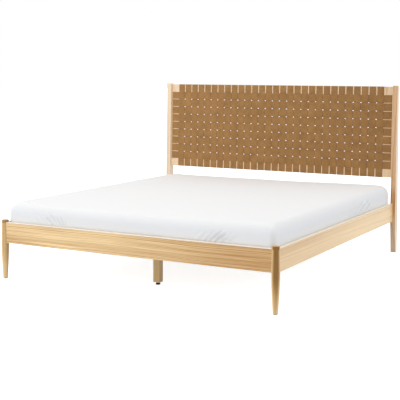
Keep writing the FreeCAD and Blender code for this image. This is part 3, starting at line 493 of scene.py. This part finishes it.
def carry_strap(path, wide, places):
    """A flat strap carried along a path in a plane, once for each of its places. The path gives (along,
    depth) points; at each, an oval-edged section of the strap's width and thickness stands square to the
    path. The texture map holds real lengths in metres: across the strap, and along it from its first end."""
    step = np.gradient(path, axis=0)
    step /= np.linalg.norm(step, axis=1)[:, None]
    normal = np.stack([-step[:, 1], step[:, 0]], 1)
    run = np.concatenate([[0], np.cumsum(np.linalg.norm(np.diff(path, axis=0), axis=1))])
    half = strap_thick / 2
    edge = wide / 2 - half
    flat = np.array([-1.0, -0.94, -0.5, 0.0, 0.5, 0.94, 1.0]) * edge
    round_turn = np.linspace(-np.pi / 2, np.pi / 2, 5)[1:-1]
    section = np.concatenate([
        np.stack([flat, np.full(len(flat), -half)], 1),
        np.stack([edge + half * np.cos(round_turn), half * np.sin(round_turn)], 1),
        np.stack([flat[::-1], np.full(len(flat), half)], 1),
        np.stack([-edge - half * np.cos(round_turn), -half * np.sin(round_turn)], 1)])
    stations, around = len(path), len(section)
    along = path[:, None, 0] + normal[:, None, 0] * section[None, :, 1]
    depth = path[:, None, 1] + normal[:, None, 1] * section[None, :, 1]
    side = np.broadcast_to(section[None, :, 0], along.shape)
    one = np.stack([side, along, depth], 2).reshape(1, -1, 3)
    points = one + np.array(places)[:, None, None] * np.array([1, 0, 0])
    texture = np.stack([np.broadcast_to(section[None, :, 0] + wide / 2, along.shape),
                        np.broadcast_to(run[:, None], along.shape)], 2).reshape(-1, 2)
    return points, texture, stations, around


def webbing_piece(name, straps, turn):
    """Joins straps of one layout into a piece, and closes each at both ends. Turn says how a strap's own
    (side, along, depth) lies across the panel, up it and into it. The panel leans back about its foot."""
    points, faces, textures, start = [], [], [], 0
    for strap_points, texture, stations, around in straps:
        quads = ring_quads(stations, around)
        for one in strap_points:
            points.append(one)
            textures.append(texture)
            last = start + around * (stations - 1)
            faces += (quads + start).tolist()
            faces += [list(range(start + around - 1, start - 1, -1)), list(range(last, last + around))]
            start += len(one)
    across, rise, depth = turn(*np.concatenate(points).T)
    lean_cos, lean_sin = math.cos(panel_lean), math.sin(panel_lean)
    piece = smooth_piece(name, np.stack([across, panel_foot.y + depth * lean_cos + rise * lean_sin,
                                         panel_foot.z + rise * lean_cos - depth * lean_sin], 1), faces)
    corners = np.empty(len(piece.data.loops), dtype=np.int32)
    piece.data.loops.foreach_get("vertex_index", corners)
    strap_map = piece.data.uv_layers.new(name="strap_metres")
    strap_map.data.foreach_set("uv", np.concatenate(textures)[corners].astype(np.float32).ravel())
    return piece


# The upright straps, from a stapled end behind the bottom rail and up the front to one behind the top rail
upright_places = (np.arange(upright_count) - (upright_count - 1) / 2) * upright_pitch
cross_heights = panel_rail + (np.arange(cross_count) + 0.5) * cross_pitch
wrap, tail, tail_middle, past_bend, front_inset = 0.003, 0.032, 0.018, 0.0004, 0.004
back_depth = panel_depth - strap_depth
low, high = strap_depth + wrap, panel_tall - strap_depth - wrap
upright_straps = []
for parity, sign in ((0, -1), (1, 1)):
    rise = woven_places(front_inset, panel_tall - front_inset, cross_pitch, cross_heights[0], cross_count)
    swing = weave_rise(rise, cross_pitch, cross_heights[0], sign)
    woven = (rise > panel_rail) & (rise < panel_tall - panel_rail)
    path = np.concatenate([
        [[tail, back_depth], [tail_middle, back_depth], [low + past_bend, back_depth]],
        bend((low, back_depth - wrap), wrap, np.pi / 2, np.pi), [[low - wrap, panel_depth / 2]],
        bend((low, strap_depth + wrap), wrap, np.pi, 1.5 * np.pi),
        np.stack([rise, strap_depth + swing * woven], 1),
        bend((high, strap_depth + wrap), wrap, -np.pi / 2, 0), [[high + wrap, panel_depth / 2]],
        bend((high, back_depth - wrap), wrap, 0, np.pi / 2),
        [[high - past_bend, back_depth], [panel_tall - tail_middle, back_depth],
         [panel_tall - tail, back_depth]]])
    upright_straps.append(carry_strap(path, upright_wide, upright_places[parity::2]))
upright_webbing = webbing_piece("upright_webbing", upright_straps,
                                lambda side, along, depth: (side, along, depth))
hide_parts("upright_straps")

# The cross straps, from the groove in one stile to the groove in the other
groove_margin, groove_wide, groove_reach, groove_turn, bend_margin = 0.006, 0.0046, 0.008, 0.0017, 0.0005
groove_x = post_inner - groove_margin - groove_wide + strap_seat + strap_thick / 2
bend_x = groove_x - groove_turn
end = bend_x - bend_margin
cross_straps = []
for parity, sign in ((0, 1), (1, -1)):
    stretch = woven_places(-end, end, upright_pitch, upright_places[0], upright_count)
    swing = weave_rise(stretch, upright_pitch, upright_places[0], sign)
    woven = np.abs(stretch) < upright_count * upright_pitch / 2
    path = np.concatenate([
        [[-groove_x, groove_reach], [-groove_x, groove_reach / 2]],
        bend((-bend_x, strap_depth + groove_turn), groove_turn, np.pi, 1.5 * np.pi),
        np.stack([stretch, strap_depth + swing * woven], 1),
        bend((bend_x, strap_depth + groove_turn), groove_turn, -np.pi / 2, 0),
        [[groove_x, groove_reach / 2], [groove_x, groove_reach]]])
    cross_straps.append(carry_strap(path, cross_wide, cross_heights[parity::2]))
cross_webbing = webbing_piece("cross_webbing", cross_straps,
                              lambda side, along, depth: (along, side, depth))
cross_webbing.data.flip_normals()
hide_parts("cross_straps")

webbing = bpy.data.materials.new("tan_webbing")
add = nodes_of(webbing)
warp_pitch, weft_pitch = 0.0016, 0.0021
strap_place = add("ShaderNodeUVMap", uv_map="strap_metres").outputs[0]
place = add("ShaderNodeTexCoord").outputs["Object"]
aside, ahead = add("ShaderNodeSeparateXYZ", {0: strap_place}).outputs[:2]
# Fine ribs of the warp with the weft stepping over them, at a slant
warp = reckon(add, "SINE", reckon(add, "MULTIPLY", aside, 2 * math.pi / warp_pitch))
slant = reckon(add, "MULTIPLY_ADD", aside, 0.75, ahead)
weft = reckon(add, "SINE", reckon(add, "MULTIPLY", slant, 2 * math.pi / weft_pitch))
thread = reckon(add, "MULTIPLY", warp, weft)
fuzz = noise(add, place, scale=1900.0, detail=3.0)
stain = noise(add, place, scale=16.0, detail=3.0)
mottle = noise(add, place, scale=170.0, detail=2.0)
yarn_place = add("ShaderNodeCombineXYZ", {0: aside, 1: 0.0}).outputs[0]
yarn = noise(add, yarn_place, scale=420.0, detail=2.0)
# Painted shade: the straps darken slowly towards the right, standing in for the left lamp's light and sheen
# falling off
across = add("ShaderNodeSeparateXYZ", {0: place}).outputs["X"]
tone = 0.15
for part, amount in ((thread, 0.20), (mottle, 0.7), (yarn, 0.5), (stain, 0.6), (across, -0.11)):
    tone = reckon(add, "MULTIPLY_ADD", part, amount, tone)
tone = spread(add, tone, 0.0, 1.0, start=0.7, end=1.4)
height = reckon(add, "MULTIPLY_ADD", fuzz, 0.8, thread)
principled(add, {"Base Color": two_tones(add, tone, (0.214, 0.099, 0.027), (0.432, 0.226, 0.074)),
                 "Roughness": 0.78, "Normal": bump(add, height, strength=0.45, distance=0.0003),
                 "Specular IOR Level": 0.3, "Sheen Weight": 0.15})
for piece in (upright_webbing, cross_webbing):
    piece.data.materials.append(webbing)
    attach(piece, "bed")


# The mattress: foam and springs in a knitted ticking, full and firm, with a low crown. It lies on the slats,
# inside the rails, and its sides draw in a little between the corners.
mattress_low, mattress_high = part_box("mattress")
mattress_middle = (Vector(mattress_low) + Vector(mattress_high)) / 2
mattress_size = Vector(mattress_high) - Vector(mattress_low)
side_draw, corner_share, corner_limit_share, crown_reach = 0.001, 0.6, 0.85, 0.9


def side_places(steps, spans=()):
    """Places from -1 to 1 along a side, even but for some spans, where they lie eight times as close."""
    walk = np.linspace(-1, 1, 2001)
    dense = 1.0 + 7.0 * sum(((walk > low) & (walk < high) for low, high in spans), np.zeros(2001))
    reach = np.concatenate([[0], np.cumsum((dense[1:] + dense[:-1]) / 2)])
    return np.interp((np.arange(steps) + 0.5) / steps * reach[-1], reach, walk)


def block_surface(half_x, half_y, corner, profile, sides):
    """A crowned block: rounded rectangles stacked along a profile of (inset, height) points. A ring's
    straight sides are drawn in by a shallow parabola, and its corners grow rounder by a share of its inset,
    up to a share of what is left. The places along the right, head, left and foot sides run from -1 to 1.
    Returns a grid of points, and each step's turn round the block in radians."""
    corner_places = side_places(18)
    runs = [places for side in sides for places in (side, corner_places)]
    part = np.repeat(np.arange(8), [len(places) for places in runs])
    slide = np.concatenate(runs)
    turn = (part // 2 + np.where(part % 2 == 1, (slide + 1) / 2, 0.0)) * np.pi / 2
    centre_x = np.choose(part, [1, 1, -slide, -1, -1, -1, slide, 1])
    centre_y = np.choose(part, [slide, 1, 1, 1, -slide, -1, -1, -1])
    draw = np.where(part % 2 == 0, side_draw * (1 - slide * slide), 0.0)
    inset, rise = np.array(profile).T[:, :, None]
    radius = np.minimum(corner + corner_share * np.maximum(inset, 0), corner_limit_share * (half_x - inset))
    x = centre_x * (half_x - inset - radius) + (radius - draw) * np.cos(turn)
    y = centre_y * (half_y - inset - radius) + (radius - draw) * np.sin(turn)
    return np.stack([x, y, np.broadcast_to(rise, x.shape)], 2), turn


def block_profile(height, round_low, round_top, fall, crown):
    """Insets and heights from the foot of the side, up it and over the crown to near the middle. The low edge
    is a quarter circle. The upper side leans in along a superellipse that falls further down than it reaches
    in, and the crown is a fourth-power curve."""
    foot = np.linspace(-np.pi / 2, 0, 6)
    foot = np.stack([round_low * (1 - np.cos(foot)), round_low * (1 + np.sin(foot))], 1)
    side = np.linspace(round_low, height - fall, 9)[1:-1]
    side = np.stack([np.zeros(len(side)), side], 1)
    over = np.linspace(0, np.pi / 2, 26)
    over = np.stack([round_top * (1 - np.cos(over)), height - fall * (1 - np.sin(over) ** (2 / 2.5))], 1)
    top = np.concatenate([np.linspace(round_top + 0.012, 0.25, 8), np.linspace(0.32, 0.88, 7)])
    left = (crown_reach - top) / (crown_reach - round_top)
    top = np.stack([top, height + crown * (1 - left ** 4)], 1)
    return np.concatenate([foot, side, over, top])


def climb(value, start, reach):
    """From 0 at a start to 1 at a reach past it, or before it where the reach is below zero."""
    return np.clip((value - start) / reach, 0, 1)


swell, swell_start, swell_climb, swell_end, swell_fade = 0.0048, 0.346, 0.010, 0.470, 0.050
corner_lift, corner_at, corner_reach = 0.010, (0.80, 0.85), (0.40, 0.50)
foot_fall, foot_at, foot_reach = 0.010, -0.98, (0.65, 0.09)
lift_start, lift_climb = 0.36, 0.10


def plump(points, turn, level):
    """Lets the filling swell: its sides stand out over the rails, evenly up to a height from which that
    fades, and the right corner at the head lifts by a bell of the place on the mattress, which fades down
    the side. The top falls away a little towards the middle of the foot, by a bell too."""
    out = swell * climb(level, swell_start, swell_climb) * climb(level, swell_end, -swell_fade)
    x, y = points[:, :, 0], points[:, :, 1]
    lift = corner_lift * np.exp(-((x - corner_at[0]) / corner_reach[0]) ** 2
                                - ((y - corner_at[1]) / corner_reach[1]) ** 2)
    lift -= foot_fall * np.exp(-((y - foot_at) / foot_reach[1]) ** 2 - (x / foot_reach[0]) ** 4)
    lift *= climb(level, lift_start, lift_climb)
    return points + np.stack([out * np.cos(turn), out * np.sin(turn), lift], 2)


def pole_fan(around, ring_start, pole, facing_up):
    """Triangles between a ring of points and the point that closes it."""
    here = [ring_start + step for step in range(around)]
    after = here[1:] + here[:1]
    return [(pole, *pair) for pair in (zip(here, after) if facing_up else zip(after, here))]


fill_corner, fill_inset, fill_seat, fill_drop = 0.030, 0.001, 0.0002, 0.006
under_insets = np.linspace(0.85, 0.03, 8)
fill_profile = block_profile(mattress_size.z - fill_drop, round_low=0.020, round_top=0.040, fall=0.062,
                             crown=0.007)
fill_profile = np.concatenate([np.stack([under_insets, np.zeros(len(under_insets))], 1), fill_profile])
points, turn = block_surface(mattress_size.x / 2 - fill_inset, mattress_size.y / 2 - fill_inset, fill_corner,
                             fill_profile, [side_places(90)] * 4)
rings, around = points.shape[:2]
points = plump(points, turn, points[:, :, 2] + mattress_low[2])
points += np.array([mattress_middle[0], mattress_middle[1], mattress_low[2] + fill_seat])
poles = np.stack([points[0].mean(0), points[-1].mean(0)])
mattress_fill = smooth_piece("mattress_fill", np.concatenate([points.reshape(-1, 3), poles]), [
    *ring_quads(rings, around).tolist(), *pole_fan(around, 0, rings * around, facing_up=False),
    *pole_fan(around, (rings - 1) * around, rings * around + 1, facing_up=True)])
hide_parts("mattress")
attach(mattress_fill, "bed")

ticking = bpy.data.materials.new("knitted_ticking")
add = nodes_of(ticking)
place = add("ShaderNodeTexCoord").outputs["Object"]
knit = add("ShaderNodeTexVoronoi", {"Vector": place, "Scale": 330.0}).outputs["Distance"]
principled(add, {"Base Color": two_tones(add, knit, (0.80, 0.80, 0.81), (0.66, 0.66, 0.68)),
                 "Roughness": 0.9, "Normal": bump(add, knit, strength=0.4, distance=0.001)})
mattress_fill.data.materials.append(ticking)


# The fitted sheet: white cotton stretched over the mattress, with a hem that an elastic gathers underneath.
# Short slanting creases run up from the rails where the hem pulls.
sheet_low, sheet_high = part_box("fitted_sheet")
sheet_cloth, sheet_corner, sheet_seat, sheet_drop = 0.0008, 0.031, 0.0001, 0.0027
hem_insets = np.linspace(0.110, 0.025, 6)
sheet_half_x = (sheet_high[0] - sheet_low[0]) / 2 - sheet_seat
sheet_half_y = (sheet_high[1] - sheet_low[1]) / 2 - sheet_seat
sheet_profile = block_profile(mattress_size.z - sheet_drop, round_low=0.021, round_top=0.042, fall=0.064,
                              crown=0.0075)
sheet_profile = np.concatenate([np.stack([hem_insets, np.zeros(len(hem_insets))], 1), sheet_profile])
# The points along the right, head, left and foot sides lie closest where the creases are
sheet_sides = [side_places(200, ((0.06, 0.68),)), side_places(120, ((-0.80, -0.58), (0.34, 0.70))),
               side_places(130, ((-0.16, -0.04), (0.58, 0.76))),
               side_places(200, ((-0.84, -0.48), (0.46, 0.80)))]
# Each crease: its place along the wall's x or y, its height, lean, length, width and relief
creases = {
    "foot": (
        (-0.664, 0.386, -0.60, 0.046, 0.00702, 0.00360), (-0.616, 0.384, -0.70, 0.036, 0.00546, 0.00360),
        (-0.568, 0.388, -0.80, 0.046, 0.00663, 0.00600), (-0.532, 0.384, -1.40, 0.028, 0.00468, 0.00408),
        (-0.506, 0.388, -2.60, 0.030, 0.00585, 0.00432), (-0.472, 0.386, -3.20, 0.026, 0.00585, 0.00312),
        (0.450, 0.380, 0.70, 0.026, 0.00624, 0.00360), (0.492, 0.378, 0.80, 0.030, 0.00546, 0.00528),
        (0.528, 0.384, 0.76, 0.038, 0.00546, 0.00744), (0.566, 0.386, 0.76, 0.044, 0.005616, 0.00888),
        (0.601, 0.382, 0.60, 0.034, 0.004836, 0.00624), (0.640, 0.384, 0.63, 0.032, 0.00585, 0.00480),
        (-0.15, 0.374, 0.5, 0.040, 0.00546, 0.00120), (0.12, 0.372, -0.5, 0.040, 0.00546, 0.00120)),
    "right": (
        (0.160, 0.378, 0.30, 0.040, 0.00585, 0.00504), (0.215, 0.380, 0.40, 0.044, 0.00546, 0.00600),
        (0.270, 0.382, 0.36, 0.050, 0.00546, 0.00624), (0.322, 0.384, 0.50, 0.050, 0.00546, 0.00552),
        (0.385, 0.398, 0.46, 0.076, 0.00702, 0.00696), (0.440, 0.386, 0.40, 0.056, 0.00585, 0.00504),
        (0.500, 0.394, 0.46, 0.066, 0.00702, 0.00600), (0.580, 0.388, 0.46, 0.050, 0.00624, 0.00360)),
    "left": (
        (-0.66, 0.384, 0.8, 0.050, 0.00585, 0.00432), (-0.60, 0.388, 0.8, 0.055, 0.00624, 0.00528),
        (0.10, 0.376, -0.6, 0.045, 0.00624, 0.00240), (0.64, 0.386, -0.8, 0.055, 0.00624, 0.00480),
        (0.71, 0.382, -0.9, 0.045, 0.00585, 0.00360)),
    "head": (
        (-0.55, 0.382, 0.8, 0.050, 0.00585, 0.00432), (-0.50, 0.388, 0.8, 0.055, 0.00624, 0.00480),
        (-0.43, 0.380, 0.9, 0.040, 0.00546, 0.00360), (0.66, 0.386, -0.8, 0.050, 0.00585, 0.00432))}


def crease_relief(places, level, turn):
    """How far the cloth stands out: for each crease, a ridge of Gaussian section across its slanting line,
    fading over its length as a fourth-power bell, with a shallow hollow to each side."""
    relief = np.zeros(level.shape)
    hollow_share, hollow_at, hollow_wide = 0.45, 2.2, 1.3
    walls = {"right": (0.0, 1), "head": (0.5 * np.pi, 0), "left": (np.pi, 1), "foot": (1.5 * np.pi, 0)}
    for wall, rows in creases.items():
        facing, axis = walls[wall]
        on_wall = np.abs(turn - facing) < 0.01
        for at, height, lean, length, width, rise in rows:
            east, north = places[:, :, axis] - at, level - height
            slant = math.hypot(1.0, lean)
            across, down = (east * lean - north) / slant, (east + north * lean) / slant
            beside = (np.abs(across) - hollow_at * width) / (hollow_wide * width)
            ridge = np.exp(-(across / width) ** 2) - hollow_share * np.exp(-beside ** 2)
            relief += rise * ridge * np.exp(-(down / length) ** 4) * on_wall
    return relief


grid, turn = block_surface(sheet_half_x, sheet_half_y, sheet_corner, sheet_profile, sheet_sides)
rings, around = grid.shape[:2]
outline = grid[np.argmin(np.abs(sheet_profile[:, 0]))]
walked = np.linalg.norm(outline - np.roll(outline, 1, axis=0), axis=1).cumsum()
grid = plump(grid, turn, grid[:, :, 2] + sheet_low[2])
outward = np.cross(np.roll(grid, -1, axis=1) - np.roll(grid, 1, axis=1), np.gradient(grid, axis=0))
outward /= np.linalg.norm(outward, axis=2)[:, :, None]
world_level = grid[:, :, 2] + sheet_low[2]
crease_start, crease_climb, unevenness = 0.352, 0.012, 0.0009
above_rail = climb(world_level, crease_start, crease_climb)
stand_out = crease_relief(grid + np.array([mattress_middle[0], mattress_middle[1], 0]), world_level, turn)
# A slow unevenness of the whole sheet, as crossed sines over its width and length
east, north = grid[:, :, 0], grid[:, :, 1]
slow = np.sin(east * 7.3 + 1.9 * np.sin(north * 3.1 + 0.7)) * np.sin(north * 6.1 + 1.6 * np.sin(east * 2.7))
slow += 0.5 * np.sin(north * 14.3 + 2.1 * np.sin(east * 4.1 + 1.3)) * np.sin(east * 11.9 + world_level * 17)
grid += outward * (above_rail * (stand_out + unevenness * slow))[:, :, None]
# The elastic draws the hem's edge in and out, by a sine of the way round the mattress
gather_share, gather_turn = 0.004, 52
grid[0, :, :2] *= (1 + gather_share * np.sin(walked * gather_turn))[:, None]
grid += np.array([mattress_middle[0], mattress_middle[1], sheet_low[2] + sheet_seat])
pole = grid[-1].mean(0)
fitted_sheet_cloth = smooth_piece("fitted_sheet_cloth", np.concatenate([grid.reshape(-1, 3), [pole]]), [
    *ring_quads(rings, around).tolist(),
    *pole_fan(around, (rings - 1) * around, rings * around, facing_up=True)])
cloth = fitted_sheet_cloth.modifiers.new("cloth_thickness", "SOLIDIFY")
cloth.thickness, cloth.offset = sheet_cloth, -1.0
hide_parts("fitted_sheet")
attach(fitted_sheet_cloth, "bed")

cotton = bpy.data.materials.new("white_cotton")
add = nodes_of(cotton)
place = add("ShaderNodeTexCoord").outputs["Object"]
thread = noise(add, place, scale=1400.0, detail=2.0)
height = reckon(add, "MULTIPLY_ADD", noise(add, place, scale=5.0, detail=3.0), 6.0, thread)
principled(add, {"Base Color": two_tones(add, thread, (0.775, 0.774, 0.776), (0.848, 0.845, 0.844)),
                 "Roughness": 0.86, "Normal": bump(add, height, strength=0.2, distance=0.001),
                 "Sheen Weight": 0.2})
fitted_sheet_cloth.data.materials.append(cotton)

# The box round all that is shown but the floor, as two corner vectors
low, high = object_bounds()
